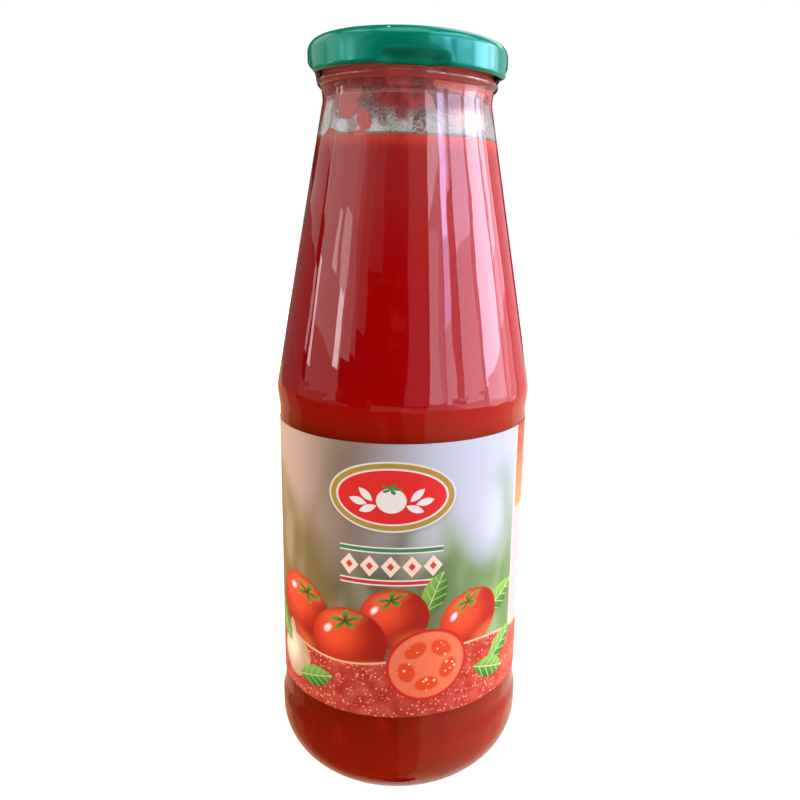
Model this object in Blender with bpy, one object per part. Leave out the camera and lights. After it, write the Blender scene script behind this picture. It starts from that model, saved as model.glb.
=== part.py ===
"""Glass bottle of passata with a twist-off lid and a paper label.

The named sizes are in millimetres and the meshes in metres. The bottle's axis is Z, its base ring
stands on Z = 0, and the middle of the label's front faces -Y. The pieces are turned solids: the
hollow glass, the passata inside it, the pressed lid with its four lugs, and the label round the body.
"""

from math import atan2, cos, hypot, pi, radians, sin, tan

import bmesh
import bpy

MM = 0.001
GAP = 0.3                     # clearance between neighbouring solids
MERGE = 0.001                 # points closer than this are one point
SEGMENTS = 64                 # facets round the glass, the passata and the label
LID_SEGMENTS = 72             # facets round the lid, a whole number to each lug
SHARP = radians(38)

# Glass, outside
PUNT_HEIGHT = 3.0             # push-up at the middle of the base
RING_WIDTH = 2.5              # flat ring that the bottle stands on
FOOT_ROUND = 14.5             # rounding between the ring and the heel
HEEL_ROUND = 17.5             # rounding of the heel
HEEL_TURN = radians(50.4)     # where one rounding takes over from the other
HEEL_RIDGE = 39.0             # widest part of the bottle, below the label
HEEL_RIDGE_TOP = 20.5
PANEL_RADIUS = 38.1           # recessed panel that carries the label
PANEL_BOTTOM = 25.6
PANEL_TOP = 117.0
SHOULDER_RIDGE = 38.7         # ridge above the label
SHOULDER_Z = 123.0
SHOULDER_BEND = 15.0
CONE_ANGLE = radians(10)      # straight slope of the shoulder, from the vertical
NECK_RADIUS = 24.35           # narrowest part, below the bead
NECK_TOP = 208.6
BEAD_RADIUS = 25.9            # ring below the lid
BEAD_Z = 210.3
BEAD_ROUND = 1.2
FINISH_RADIUS = 24.6          # the part that the lid covers
RIM_TOP = 220.2
RIM_ROUND = 1.3

# Glass, inside
WALL = 2.3
BORE_RADIUS = 21.8
INNER_BASE_Z = 4.4            # lowest part of the inside, a ring above the base ring
INNER_BASE_RISE = 1.6         # the inside of the base rises over the push-up
INNER_HEEL = 12.0

# Passata, label and lid
FILL_LEVEL = 194.4
LABEL_BOTTOM = 31.35
LABEL_TOP = 114.45
LABEL_THICKNESS = 0.2
LID_BOTTOM = 211.8
LID_TOP = 221.3
LID_RADIUS = 28.45
LID_SHOULDER = 3.2            # rounding between the top and the wall
LID_SHEET = 0.5
LID_PANEL_RADIUS = 20.5       # sunk middle of the lid's top
LID_PANEL_DROP = 0.6
LID_BUTTON_RADIUS = 9.0       # low dome that shows the vacuum
LID_BUTTON_RISE = 0.35
LUG_COUNT = 4
LUG_AZIMUTH = radians(3)      # the front lug, from -Y towards +X
LUG_HALF_WIDTH = radians(20)
LUG_DEPTH = 2.0
LUG_TOP = 215.2               # where the press of a lug runs out
LUG_FULL = 213.4              # below this it is pressed in fully


def arc(centre, radius, start, end, steps):
    """Points (r, z) of an arc, with angles from +r towards +z."""
    turns = [start + (end - start) * i / steps for i in range(steps + 1)]
    return [(centre[0] + radius * cos(turn), centre[1] + radius * sin(turn)) for turn in turns]


def cone_radius(z):
    """Outer radius of the shoulder's straight slope."""
    bend_z = SHOULDER_Z + SHOULDER_BEND * sin(CONE_ANGLE)
    bend_radius = SHOULDER_RIDGE - SHOULDER_BEND * (1 - cos(CONE_ANGLE))
    return bend_radius - (z - bend_z) * tan(CONE_ANGLE)


def cone_height(radius):
    """Height at which the shoulder's straight slope has this outer radius."""
    return (cone_radius(0) - radius) / tan(CONE_ANGLE)


def dome(edge_radius, edge_z, rise, steps):
    """Points of a low dome, from the axis out to just before its edge."""
    radii = [edge_radius * i / steps for i in range(steps)]
    return [(radius, edge_z + rise * (1 - (radius / edge_radius) ** 2)) for radius in radii]


def glass_outside():
    """The glass from the middle of its base up to the outer edge of its rim."""
    rounds = HEEL_ROUND - FOOT_ROUND
    ring_radius = HEEL_RIDGE - HEEL_ROUND + rounds * cos(HEEL_TURN)
    points = dome(ring_radius - RING_WIDTH, 0, PUNT_HEIGHT, 4) + [(ring_radius - RING_WIDTH, 0)]
    points += arc((ring_radius, FOOT_ROUND), FOOT_ROUND, -pi / 2, -HEEL_TURN, 4)
    heel_centre = (HEEL_RIDGE - HEEL_ROUND, FOOT_ROUND + rounds * sin(HEEL_TURN))
    points += arc(heel_centre, HEEL_ROUND, -HEEL_TURN, 0, 5)[1:]
    step = HEEL_RIDGE - PANEL_RADIUS
    points += [(HEEL_RIDGE, HEEL_RIDGE_TOP), (PANEL_RADIUS + step * 0.7, HEEL_RIDGE_TOP + 2)]
    points += [(PANEL_RADIUS + step * 0.2, PANEL_BOTTOM - 1.4), (PANEL_RADIUS, PANEL_BOTTOM)]
    points += [(PANEL_RADIUS, PANEL_TOP), (PANEL_RADIUS + 0.15, PANEL_TOP + 1.4)]
    points += [(SHOULDER_RIDGE - 0.08, SHOULDER_Z - 2.4)]
    points += arc((SHOULDER_RIDGE - SHOULDER_BEND, SHOULDER_Z), SHOULDER_BEND, 0, CONE_ANGLE, 2)
    points += [(NECK_RADIUS, cone_height(NECK_RADIUS)), (NECK_RADIUS, NECK_TOP)]
    bead_centre = (BEAD_RADIUS - BEAD_ROUND, BEAD_Z)
    points += arc(bead_centre, BEAD_ROUND, radians(-75), radians(95), 5)
    points += arc((FINISH_RADIUS - RIM_ROUND, RIM_TOP - RIM_ROUND), RIM_ROUND, 0, pi / 2, 3)
    return points


def glass_inside(offset=0.0):
    """The inside from the rim down to the middle of the base, moved inwards by offset."""
    bore = BORE_RADIUS - offset
    base_z = INNER_BASE_Z + offset
    body = PANEL_RADIUS - WALL - offset
    cone_wall = WALL / cos(CONE_ANGLE) + offset
    points = [(bore, cone_height(bore + cone_wall))]
    points += [(body - 0.12, cone_height(body - 0.12 + cone_wall))]
    points += [(body, cone_height(body + cone_wall) - 2)]
    points += arc((body - INNER_HEEL, base_z + INNER_HEEL), INNER_HEEL, 0, -pi / 2, 6)
    points += dome(body - INNER_HEEL, base_z, INNER_BASE_RISE, 3)[::-1]
    return points


def turned(name, outline, material, closed=False, segments=SEGMENTS):
    """Turn an outline of (r, z) points about the Z axis into one closed solid."""
    work = bmesh.new()
    points = [work.verts.new((radius * MM, 0, z * MM)) for radius, z in outline]
    edges = [work.edges.new(pair) for pair in zip(points, points[1:])]
    if closed:
        edges.append(work.edges.new((points[-1], points[0])))
    bmesh.ops.spin(work, geom=points + edges, cent=(0, 0, 0), axis=(0, 0, 1),
                   angle=2 * pi, steps=segments, use_merge=True)
    bmesh.ops.remove_doubles(work, verts=work.verts, dist=MERGE * MM)
    bmesh.ops.recalc_face_normals(work, faces=work.faces)
    mesh = bpy.data.meshes.new(name)
    work.to_mesh(mesh)
    work.free()
    mesh.materials.append(material)
    mesh.shade_smooth()
    mesh.set_sharp_from_angle(angle=SHARP)
    piece = bpy.data.objects.new(name, mesh)
    bpy.context.scene.collection.objects.link(piece)
    return piece


def finish(name, colour, roughness, metallic=0.0, transmission=0.0):
    """A plain Principled material."""
    material = bpy.data.materials.new(name)
    material.use_nodes = True
    shader = material.node_tree.nodes["Principled BSDF"]
    shader.inputs["Base Color"].default_value = (*colour, 1)
    shader.inputs["Roughness"].default_value = roughness
    shader.inputs["Metallic"].default_value = metallic
    shader.inputs["Transmission Weight"].default_value = transmission
    return material


def glass_bottle():
    """Hollow flint glass: base, body with its label panel, sloping shoulder, bead and finish."""
    rim = [(BORE_RADIUS + 0.4, RIM_TOP - 0.1), (BORE_RADIUS, RIM_TOP - 0.6)]
    outline = glass_outside() + rim + glass_inside()
    return turned("glass_bottle", outline, finish("clear_glass", (0.93, 0.96, 0.95), 0.03, 0, 1))


def passata():
    """The passata as a solid, from the inside of the base up to its level in the neck."""
    wall = glass_inside(GAP)[1:]
    top_radius = cone_radius(FILL_LEVEL) - WALL / cos(CONE_ANGLE) - GAP
    outline = [(0, FILL_LEVEL), (top_radius, FILL_LEVEL)] + wall
    return turned("passata", outline, finish("passata", (0.45, 0.012, 0.006), 0.4))


def label():
    """The paper label, once round the panel."""
    inner = PANEL_RADIUS + GAP
    outer = inner + LABEL_THICKNESS
    outline = [(inner, LABEL_BOTTOM), (outer, LABEL_BOTTOM), (outer, LABEL_TOP), (inner, LABEL_TOP)]
    return turned("label", outline, finish("label_paper", (0.75, 0.62, 0.5), 0.45), closed=True)


def lug_press(azimuth, z):
    """How far the four lugs push the lid's wall in at this place, from 0 to 1."""
    pitch = 2 * pi / LUG_COUNT
    off_centre = abs((azimuth - LUG_AZIMUTH + pitch / 2) % pitch - pitch / 2)
    across = min(1, max(0, 2 * (1 - off_centre / LUG_HALF_WIDTH)))
    down = min(1, max(0, (LUG_TOP - z) / (LUG_TOP - LUG_FULL)))
    return across * down


def lid_outline():
    """The lid's sheet in section: sunk top, rounded shoulder, straight wall and curled hem."""
    panel_z = LID_TOP - LID_PANEL_DROP
    points = dome(LID_BUTTON_RADIUS, panel_z, LID_BUTTON_RISE, 2) + [(LID_BUTTON_RADIUS, panel_z)]
    points += [(LID_PANEL_RADIUS, panel_z), (LID_PANEL_RADIUS + 1.2, LID_TOP)]
    shoulder = (LID_RADIUS - LID_SHOULDER, LID_TOP - LID_SHOULDER)
    points += arc(shoulder, LID_SHOULDER, pi / 2, 0, 5)
    points += [(LID_RADIUS, LUG_TOP), (LID_RADIUS, LUG_FULL), (LID_RADIUS - 0.3, LID_BOTTOM + 0.5)]
    points += [(LID_RADIUS - 0.8, LID_BOTTOM), (LID_RADIUS - 1.3, LID_BOTTOM + 0.2)]
    points += [(LID_RADIUS - 1.3, LID_BOTTOM + 1), (LID_RADIUS - LID_SHEET, LUG_FULL)]
    points += [(LID_RADIUS - LID_SHEET, LUG_TOP)]
    points += arc(shoulder, LID_SHOULDER - LID_SHEET, 0, pi / 2, 4)
    points += [(LID_PANEL_RADIUS + 1, LID_TOP - LID_SHEET), (LID_PANEL_RADIUS - 0.3, panel_z - LID_SHEET)]
    points += [(0, panel_z - LID_SHEET)]
    return points


def lid():
    """The lid, with its lugs pressed into the turned sheet."""
    enamel = finish("green_enamel", (0.0, 0.16, 0.09), 0.2)
    piece = turned("lid", lid_outline(), enamel, segments=LID_SEGMENTS)
    for vertex in piece.data.vertices:
        x, y, z = vertex.co / MM
        press = LUG_DEPTH * lug_press(atan2(x, -y), z)
        if press > 0:
            vertex.co.xy *= 1 - press / hypot(x, y)
    return piece


for leftover in list(bpy.data.objects):
    bpy.data.objects.remove(leftover)
glass_bottle()
passata()
label()
lid()
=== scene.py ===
import random
from math import atan2, cos, hypot, pi, radians, sin, tan

import bpy
from mathutils import Matrix, Vector, noise


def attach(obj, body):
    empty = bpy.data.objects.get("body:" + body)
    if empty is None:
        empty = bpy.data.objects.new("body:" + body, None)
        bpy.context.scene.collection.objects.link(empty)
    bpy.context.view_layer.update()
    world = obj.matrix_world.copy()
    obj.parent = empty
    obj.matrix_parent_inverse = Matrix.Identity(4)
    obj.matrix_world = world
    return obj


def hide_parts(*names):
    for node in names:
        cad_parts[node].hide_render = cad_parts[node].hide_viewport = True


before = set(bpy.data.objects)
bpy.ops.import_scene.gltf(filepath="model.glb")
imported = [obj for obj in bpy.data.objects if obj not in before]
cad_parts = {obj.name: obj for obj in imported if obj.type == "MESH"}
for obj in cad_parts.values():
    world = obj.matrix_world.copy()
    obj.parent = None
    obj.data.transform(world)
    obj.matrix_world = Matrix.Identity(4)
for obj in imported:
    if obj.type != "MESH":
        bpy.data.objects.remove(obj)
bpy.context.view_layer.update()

MM = 0.001

# Glass bottle
# A flint glass bottle, blown in a mould: a pushed-up base, a heel ridge, a sunk panel for the label,
# a shoulder ridge, a straight slope to the neck and a bead under the lid. The wall is a little wavy.
GLASS_SIDES = 160
WALL = 2.3
PUNT_RISE = 3.0
RING_WIDTH = 2.5
FOOT_ROUND = 14.5
HEEL_ROUND = 17.5
HEEL_TURN = radians(50.4)
HEEL_RIDGE = 39.0
HEEL_RIDGE_TOP = 20.5
PANEL_RADIUS = 38.1
PANEL_BOTTOM = 25.6
PANEL_TOP = 117.0
SHOULDER_RIDGE = 38.7
SHOULDER_Z = 123.0
SHOULDER_BEND = 15.0
CONE_ANGLE = radians(10)
NECK_RADIUS = 24.35
BEAD_RADIUS = 25.9
BEAD_Z = 210.3
BEAD_ROUND = 1.2
FINISH_RADIUS = 24.6
RIM_TOP = 220.2
RIM_ROUND = 1.3
BORE_RADIUS = 21.8
INNER_BASE_Z = 4.4
INNER_BASE_RISE = 1.6
INNER_HEEL = 12.0
SHARP_EDGE = radians(38)


def arc(centre, radius, start, end, steps):
    """Points (r, z) of an arc, with angles from +r towards +z."""
    turns = [start + (end - start) * i / steps for i in range(steps + 1)]
    return [(centre[0] + radius * cos(turn), centre[1] + radius * sin(turn)) for turn in turns]


def dome(edge_radius, edge_z, rise, steps):
    """Points of a low dome, from the axis out to just before its edge."""
    radii = [edge_radius * i / steps for i in range(steps)]
    return [(radius, edge_z + rise * (1 - (radius / edge_radius) ** 2)) for radius in radii]


def cone_radius(z):
    """Outer radius of the shoulder's straight slope."""
    bend_z = SHOULDER_Z + SHOULDER_BEND * sin(CONE_ANGLE)
    bend_radius = SHOULDER_RIDGE - SHOULDER_BEND * (1 - cos(CONE_ANGLE))
    return bend_radius - (z - bend_z) * tan(CONE_ANGLE)


def cone_height(radius):
    """Height at which the shoulder's straight slope has this outer radius."""
    return (cone_radius(0) - radius) / tan(CONE_ANGLE)


def wall_radius(z):
    """Radius of the inside of the glass at this height, above the heel."""
    return max(BORE_RADIUS, min(PANEL_RADIUS - WALL, cone_radius(z) - WALL / cos(CONE_ANGLE)))


def wave(z, low, high):
    """0 below low, 1 above high, and a smooth step between."""
    share = min(1, max(0, (z - low) / (high - low)))
    return share * share * (3 - 2 * share)


def glass_outside():
    """The outside from the middle of the base up to the outer edge of the rim."""
    rounds = HEEL_ROUND - FOOT_ROUND
    ring_radius = HEEL_RIDGE - HEEL_ROUND + rounds * cos(HEEL_TURN)
    points = dome(ring_radius - RING_WIDTH, 0.0, PUNT_RISE, 8) + [(ring_radius - RING_WIDTH, 0.0)]
    points += arc((ring_radius, FOOT_ROUND), FOOT_ROUND, -pi / 2, -HEEL_TURN, 8)
    heel_centre = (HEEL_RIDGE - HEEL_ROUND, FOOT_ROUND + rounds * sin(HEEL_TURN))
    points += arc(heel_centre, HEEL_ROUND, -HEEL_TURN, 0, 10)[1:]
    for i in range(9):
        z = HEEL_RIDGE_TOP + (PANEL_BOTTOM - HEEL_RIDGE_TOP) * i / 8
        step = wave(z, HEEL_RIDGE_TOP, PANEL_BOTTOM)
        points.append((HEEL_RIDGE + (PANEL_RADIUS - HEEL_RIDGE) * step, z))
    for i in range(7):
        z = PANEL_TOP + (SHOULDER_Z - PANEL_TOP) * i / 7
        points.append((PANEL_RADIUS + (SHOULDER_RIDGE - PANEL_RADIUS) * wave(z, PANEL_TOP, SHOULDER_Z), z))
    points += arc((SHOULDER_RIDGE - SHOULDER_BEND, SHOULDER_Z), SHOULDER_BEND, 0, CONE_ANGLE, 5)
    points += [(cone_radius(z), z) for z in range(135, 204, 10)]
    throat = cone_height(NECK_RADIUS)
    points += [(NECK_RADIUS + 0.06, throat - 0.5), (NECK_RADIUS, throat + 0.7)]
    points += [(NECK_RADIUS + 0.02, 205.4), (NECK_RADIUS + 0.12, 207.0), (NECK_RADIUS + 0.36, 208.7)]
    points += arc((BEAD_RADIUS - BEAD_ROUND, BEAD_Z), BEAD_ROUND, radians(-80), radians(95), 10)
    points += arc((FINISH_RADIUS - RIM_ROUND, RIM_TOP - RIM_ROUND), RIM_ROUND, 0, pi / 2, 5)
    return points


def glass_inside(grow=0.0):
    """The inside from the rim's bore down to the middle of the base, moved outwards by grow."""
    body = PANEL_RADIUS - WALL
    throat = cone_height(BORE_RADIUS + WALL / cos(CONE_ANGLE))
    bend = cone_height(body + WALL / cos(CONE_ANGLE))
    heights = [throat - 2 - i * (throat - bend - 6) / 7 for i in range(8)]
    points = [(BORE_RADIUS + grow, throat)]
    points += [(wall_radius(z) + grow, z) for z in heights]
    points += [(body - 0.1 + grow, bend + 1.4), (body + grow, bend - 2.5)]
    points += arc((body - INNER_HEEL, INNER_BASE_Z + INNER_HEEL), INNER_HEEL + grow, 0, -pi / 2, 12)
    points += dome(body - INNER_HEEL, INNER_BASE_Z - grow, INNER_BASE_RISE, 5)[::-1]
    return points


def drawn_line(points):
    """Start a piece in edit mode as one line through (r, z) points, in millimetres, at +X."""
    bpy.ops.object.select_all(action="DESELECT")
    bpy.ops.mesh.primitive_plane_add(size=MM)
    bpy.ops.object.mode_set(mode="EDIT")
    bpy.ops.mesh.merge(type="CENTER")
    bpy.ops.transform.translate(value=(points[0][0] * MM, 0, points[0][1] * MM))
    for (radius, z), (next_radius, next_z) in zip(points, points[1:]):
        move = ((next_radius - radius) * MM, 0, (next_z - z) * MM)
        bpy.ops.mesh.extrude_vertices_move(TRANSFORM_OT_translate={"value": move})


def close_up(gap):
    """Merge points nearer than a gap in millimetres, turn faces outwards and leave edit mode."""
    bpy.ops.object.mode_set(mode="EDIT")
    bpy.ops.mesh.select_all(action="SELECT")
    bpy.ops.mesh.remove_doubles(threshold=gap * MM)
    bpy.ops.mesh.normals_make_consistent(inside=False)
    bpy.ops.object.mode_set(mode="OBJECT")


def turned_piece(name, points, sides):
    """Spin a line of points round the bottle's axis into a closed, smooth piece."""
    drawn_line(points)
    bpy.ops.mesh.select_all(action="SELECT")
    bpy.ops.mesh.spin(steps=sides, angle=2 * pi, center=(0, 0, 0), axis=(0, 0, 1))
    close_up(0.002)
    bpy.ops.object.shade_smooth_by_angle(angle=SHARP_EDGE)
    piece = bpy.context.object
    piece.name = name
    return piece


def blank_material(name):
    """A material with a Principled shader: returns the material, its tree and the shader."""
    material = bpy.data.materials.new(name)
    material.use_nodes = True
    tree = material.node_tree
    return material, tree, tree.nodes["Principled BSDF"]


def add(tree, kind, sockets=None, **settings):
    """Add a shader node with its settings. A socket given as an input is linked, a value is set."""
    made = tree.nodes.new("ShaderNode" + kind)
    for name, value in settings.items():
        setattr(made, name, value)
    for key, value in (sockets or {}).items():
        if isinstance(value, bpy.types.NodeSocket):
            tree.links.new(value, made.inputs[key])
        else:
            made.inputs[key].default_value = value
    return made


def set_sockets(node, values):
    """Set sockets, by name, to values that are the same all over."""
    for name, value in values.items():
        node.inputs[name].default_value = value


def maths(tree, operation, first, second=0.0):
    """One Math node's output."""
    return add(tree, "Math", {0: first, 1: second}, operation=operation).outputs[0]


def times(tree, first, second):
    """A product of two values."""
    return maths(tree, "MULTIPLY", first, second)


def plus(tree, first, second):
    """A sum of two values."""
    return maths(tree, "ADD", first, second)


def minus(tree, first, second):
    """The first value less the second."""
    return maths(tree, "SUBTRACT", first, second)


def blend(tree, share, below, above):
    """Colour above laid over colour below by a share from 0 to 1."""
    return add(tree, "Mix", {0: share, 6: below, 7: above}, data_type="RGBA").outputs[2]


def ramp(tree, value, low, high):
    """A smooth step of a value from 0 at low to 1 at high."""
    limits = {"Value": value, "From Min": low, "From Max": high}
    return add(tree, "MapRange", limits, interpolation_type="SMOOTHSTEP").outputs["Result"]


def object_place(tree, scale):
    """Object coordinates times a scale."""
    place = add(tree, "TexCoord").outputs["Object"]
    return add(tree, "Mapping", {"Vector": place, "Scale": scale}).outputs["Vector"]


def object_height(tree):
    """Height above the table, in metres."""
    return add(tree, "SeparateXYZ", {0: add(tree, "TexCoord").outputs["Object"]}).outputs["Z"]


def noise_at(tree, place, scale, detail):
    """Noise at a place times a scale."""
    return add(tree, "TexNoise", {"Vector": place, "Scale": scale, "Detail": detail}).outputs["Fac"]


def noise_on(tree, scale, detail):
    """Noise on Object coordinates times a scale for each axis."""
    return noise_at(tree, object_place(tree, scale), 1.0, detail)


def bump_by(tree, shader, height, strength, distance):
    """Roughen a shader's surface by a height."""
    bump = add(tree, "Bump", {"Height": height, "Strength": strength, "Distance": distance})
    tree.links.new(bump.outputs["Normal"], shader.inputs["Normal"])


def glass_material():
    """Clear glass: wavy where the mould and the cooling pull it, open to lamps so that they light
    what is inside."""
    material, tree, shader = blank_material("flint_glass")
    set_sockets(shader, {"Base Color": (0.93, 0.965, 0.95, 1), "Roughness": 0.0, "IOR": 1.5,
                         "Transmission Weight": 1.0})
    waves = noise_on(tree, (90, 90, 12), 1.0)
    folds = noise_on(tree, (330, 330, 22), 0.0)
    ripples = noise_on(tree, (75, 75, 85), 0.0)
    height = plus(tree, waves, times(tree, folds, 0.18))
    height = plus(tree, height, times(tree, ripples, 0.45))
    level = object_height(tree)
    rising = ramp(tree, level, (SHOULDER_Z - 4) * MM, SHOULDER_Z * MM)
    ridge = times(tree, rising, ramp(tree, level, (SHOULDER_Z + 9) * MM, (SHOULDER_Z + 3) * MM))
    swirls = noise_on(tree, (190, 190, 210), 1.0)
    swirl = times(tree, minus(tree, swirls, 0.5), ridge)
    height = plus(tree, height, times(tree, swirl, 0.9))
    bump_by(tree, shader, height, 1.0, 0.22 * MM)
    clear = add(tree, "BsdfTransparent", {"Color": (0.93, 0.96, 0.95, 1)})
    path = add(tree, "LightPath")
    to_lamp = path.outputs["Is Shadow Ray"]
    mix = add(tree, "MixShader", {0: to_lamp, 1: shader.outputs[0], 2: clear.outputs[0]})
    tree.links.new(mix.outputs[0], tree.nodes["Material Output"].inputs["Surface"])
    return material


rim_bore = [(BORE_RADIUS + 0.4, RIM_TOP - 0.1), (BORE_RADIUS, RIM_TOP - 0.6)]
glass = turned_piece("glass", glass_outside() + rim_bore + glass_inside(), GLASS_SIDES)
glass.data.materials.append(glass_material())
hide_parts("glass_bottle")
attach(glass, "root")

# Passata
# Thick sieved tomato, which fills the bottle up to the neck and wets the glass all over, so its
# surface reaches just into the wall. It is a little paler and more orange near its level.
FILL_LEVEL = 194.4
WETTED = 0.08


def passata_material():
    """Deep red pulp with faint mottling."""
    material, tree, shader = blank_material("tomato_pulp")
    height = object_height(tree)
    top = ramp(tree, height, (FILL_LEVEL - 38) * MM, FILL_LEVEL * MM)
    body = ramp(tree, height, (SHOULDER_Z - 1) * MM, (SHOULDER_Z - 11) * MM)
    pulp = noise_on(tree, (180, 180, 120), 4.0)
    deep = blend(tree, top, (0.36, 0.0012, 0.0012, 1), (0.35, 0.016, 0.014, 1))
    brim = ramp(tree, height, (FILL_LEVEL - 3.5) * MM, (FILL_LEVEL + 0.3) * MM)
    rimmed = blend(tree, brim, deep, (0.56, 0.050, 0.024, 1))
    low = blend(tree, body, rimmed, (0.30, 0.006, 0.0008, 1))
    mottled = blend(tree, ramp(tree, pulp, 0.55, 0.8), low, (0.41, 0.010, 0.006, 1))
    tree.links.new(mottled, shader.inputs["Base Color"])
    set_sockets(shader, {"Roughness": 0.7, "Specular IOR Level": 0.0})
    return material


level_radius = wall_radius(FILL_LEVEL)
meniscus = [(0, FILL_LEVEL), (level_radius - 1.6, FILL_LEVEL), (level_radius - 0.5, FILL_LEVEL + 0.15)]
meniscus += [(level_radius + WETTED, FILL_LEVEL + 0.6)]
below_level = [point for point in glass_inside(WETTED) if point[1] < FILL_LEVEL - 1]
pulp = turned_piece("pulp", meniscus + below_level, GLASS_SIDES)
pulp.data.materials.append(passata_material())
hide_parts("passata")
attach(pulp, "root")

# Lid
# A twist-off lid of thin tinplate, pressed and enamelled green: a sunk top with a low button, a
# rounded shoulder, a straight wall, a curled hem, and lugs pressed in where the thread catches.
LID_SIDES = 180
LID_BOTTOM = 211.8
LID_TOP = 221.3
LID_RADIUS = 28.45
LID_SHOULDER = 3.2
LID_SHEET = 0.3
LID_PANEL_RADIUS = 20.5
LID_PANEL_DROP = 0.6
LID_BUTTON_RADIUS = 9.0
LID_BUTTON_RISE = 0.35
LUG_COUNT = 4
LUG_AZIMUTH = radians(3)
LUG_HALF_WIDTH = radians(21)
LUG_DEPTH = 2.0
LUG_TOP = 215.6
LUG_FULL = 213.0


def lid_outline():
    """The lid's sheet in section, from the middle of its top to the middle of its underside."""
    panel_z = LID_TOP - LID_PANEL_DROP
    points = dome(LID_BUTTON_RADIUS, panel_z, LID_BUTTON_RISE, 6) + [(LID_BUTTON_RADIUS, panel_z)]
    points += [(LID_BUTTON_RADIUS + 0.5, panel_z - 0.05), (LID_PANEL_RADIUS - 0.4, panel_z)]
    points += [(LID_PANEL_RADIUS, panel_z + 0.1), (LID_PANEL_RADIUS + 0.7, LID_TOP - 0.12)]
    points += [(LID_PANEL_RADIUS + 1.3, LID_TOP)]
    shoulder = (LID_RADIUS - LID_SHOULDER, LID_TOP - LID_SHOULDER)
    points += arc(shoulder, LID_SHOULDER, pi / 2, 0, 12)
    points += [(LID_RADIUS, LUG_TOP - 0.6 * i) for i in range(6)]
    points += [(LID_RADIUS - 0.12, LID_BOTTOM + 0.5), (LID_RADIUS - 0.4, LID_BOTTOM + 0.12)]
    points += [(LID_RADIUS - 0.8, LID_BOTTOM), (LID_RADIUS - 1.2, LID_BOTTOM + 0.2)]
    points += [(LID_RADIUS - 1.3, LID_BOTTOM + 0.7), (LID_RADIUS - LID_SHEET, LID_BOTTOM + 1.4)]
    points += [(LID_RADIUS - LID_SHEET, LUG_TOP)]
    points += arc(shoulder, LID_SHOULDER - LID_SHEET, 0, pi / 2, 8)
    points += [(LID_PANEL_RADIUS + 1, LID_TOP - LID_SHEET), (LID_PANEL_RADIUS - 0.3, panel_z - LID_SHEET)]
    points += [(0, panel_z - LID_SHEET)]
    return points


def press_lugs(piece):
    """Push the lower wall and the hem in at each lug, smoothly at its ends and its top."""
    pitch = 2 * pi / LUG_COUNT
    for vertex in piece.data.vertices:
        x, y, z = vertex.co / MM
        across = abs((atan2(x, -y) - LUG_AZIMUTH + pitch / 2) % pitch - pitch / 2)
        ends = 1 - wave(across, LUG_HALF_WIDTH * 0.5, LUG_HALF_WIDTH)
        press = LUG_DEPTH * ends * (1 - wave(z, LUG_FULL, LUG_TOP))
        if press > 0:
            vertex.co.xy *= 1 - press / hypot(x, y)


def length_of(tree, place):
    """How far a place is from 0."""
    return add(tree, "VectorMath", {0: place}, operation="LENGTH").outputs["Value"]


def enamel_material():
    """Glossy green enamel with a faint orange-peel, and tiny bright flecks on the top edge, partly chipped
    enamel and partly painted highlights.
    """
    material, tree, shader = blank_material("green_enamel_gloss")
    place = add(tree, "TexCoord").outputs["Object"]
    height = object_height(tree)
    shade = noise_on(tree, (30, 30, 30), 2.0)
    green = blend(tree, shade, (0.0, 0.125, 0.070, 1), (0.0, 0.155, 0.092, 1))
    specks = noise_on(tree, (420, 420, 420), 2.0)
    edge = ramp(tree, height, (LID_TOP - 1.6) * MM, (LID_TOP - 0.6) * MM)
    flat = add(tree, "VectorMath", {0: place, 1: (1, 1, 0)}, operation="MULTIPLY").outputs["Vector"]
    rim = ramp(tree, length_of(tree, flat), (LID_RADIUS - 5.0) * MM, (LID_RADIUS - 3.0) * MM)
    # Cream flecks round the top edge: partly chipped enamel, partly painted highlights.
    flecks = ramp(tree, specks, 0.69, 0.73)
    chips_and_glints = times(tree, flecks, times(tree, edge, rim))
    worn_and_glinting = blend(tree, chips_and_glints, green, (0.75, 0.68, 0.5, 1))
    tree.links.new(worn_and_glinting, shader.inputs["Base Color"])
    set_sockets(shader, {"Roughness": 0.16, "Specular IOR Level": 0.62,
                         "Specular Tint": (0.2, 1.0, 1.0, 1)})
    peel = noise_on(tree, (350, 350, 350), 1.0)
    bump_by(tree, shader, peel, 0.25, 0.1 * MM)
    return material


cap = turned_piece("cap", lid_outline(), LID_SIDES)
press_lugs(cap)
cap.data.materials.append(enamel_material())
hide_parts("lid")
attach(cap, "root")

# Mist and thin juice in the neck
# Above the passata the inside of the neck is misted with fine condensed drops. Thin juice clings
# under the lid and hangs lower at the front and the back, where it has run down in drips.
LINING_TOP = 219.2
LINING_WALL = 0.1
LINING_IN_WALL = 0.04
LINING_FOOT = FILL_LEVEL + 0.3
FILM_EDGE = 207.2


def flat_grid(name, columns, rows, **settings):
    """A flat square grid, 1 across, to be bent into a sheet."""
    bpy.ops.object.select_all(action="DESELECT")
    bpy.ops.mesh.primitive_grid_add(x_subdivisions=columns, y_subdivisions=rows, size=1, **settings)
    bpy.context.object.name = name
    return bpy.context.object


def round_axis(azimuth, radius, z):
    """A place by its turn from -Y towards +X, its radius and its height in millimetres."""
    return (radius * sin(azimuth) * MM, -radius * cos(azimuth) * MM, z * MM)


def thicken(piece, thickness, offset):
    """Give a sheet its thickness, against its normals (-1) or along them (1)."""
    sheet = piece.modifiers.new("sheet", "SOLIDIFY")
    sheet.thickness = thickness
    sheet.offset = offset
    bpy.ops.object.modifier_apply(modifier=sheet.name)


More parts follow.
